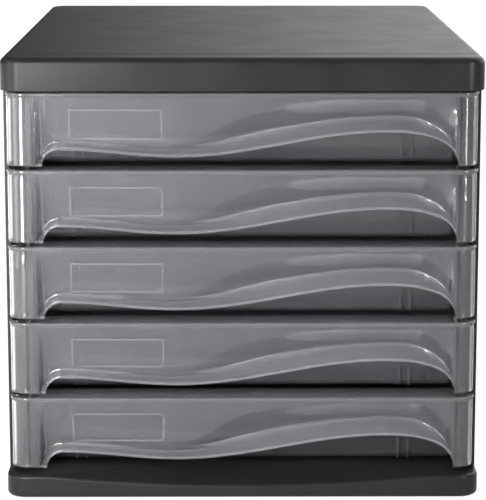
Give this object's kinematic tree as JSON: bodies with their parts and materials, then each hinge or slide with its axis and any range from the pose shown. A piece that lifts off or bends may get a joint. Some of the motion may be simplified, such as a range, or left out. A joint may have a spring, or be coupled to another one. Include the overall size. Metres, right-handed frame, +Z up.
{
  "type": "plastic drawer tower",
  "caption": "Desktop drawer tower with a dark moulded housing and clear sliding drawers whose fronts have a wave-shaped finger lip.",
  "frame": {"origin": "centre of the footprint on the surface that the tower stands on", "axes": "+X right and +Y back as seen from the front, +Z up; the drawers open towards -Y"},
  "size_m": [0.265, 0.35, 0.2486],
  "materials": {
    "graphite_plastic": "satin graphite, fine moulded grain",
    "clear_drawer_plastic": "clear, slightly smoky, polished",
    "foot_rubber": "matte",
    "screw_steel": "zinc plated"
  },
  "bodies": {
    "housing": {"top_cover": "graphite_plastic", "base": "graphite_plastic", "left_side_panel": "graphite_plastic", "right_side_panel": "graphite_plastic", "back_panel": "graphite_plastic", "front_left_foot": "foot_rubber", "front_right_foot": "foot_rubber", "back_left_foot": "foot_rubber", "back_right_foot": "foot_rubber", "base_screws": "screw_steel"},
    "drawer_1": {"drawer_1": "clear_drawer_plastic"},
    "drawer_2": {"drawer_2": "clear_drawer_plastic"},
    "drawer_3": {"drawer_3": "clear_drawer_plastic"},
    "drawer_4": {"drawer_4": "clear_drawer_plastic"},
    "drawer_5": {"drawer_5": "clear_drawer_plastic"}
  },
  "joints": [
    {"name": "drawer_1_slide", "type": "slide", "parent": "housing", "child": "drawer_1", "axis": [0, -1, 0], "range_m": [0, 0.22]},
    {"name": "drawer_2_slide", "type": "slide", "parent": "housing", "child": "drawer_2", "axis": [0, -1, 0], "range_m": [0, 0.22]},
    {"name": "drawer_3_slide", "type": "slide", "parent": "housing", "child": "drawer_3", "axis": [0, -1, 0], "range_m": [0, 0.22]},
    {"name": "drawer_4_slide", "type": "slide", "parent": "housing", "child": "drawer_4", "axis": [0, -1, 0], "range_m": [0, 0.22]},
    {"name": "drawer_5_slide", "type": "slide", "parent": "housing", "child": "drawer_5", "axis": [0, -1, 0], "range_m": [0, 0.22]}
  ]
}
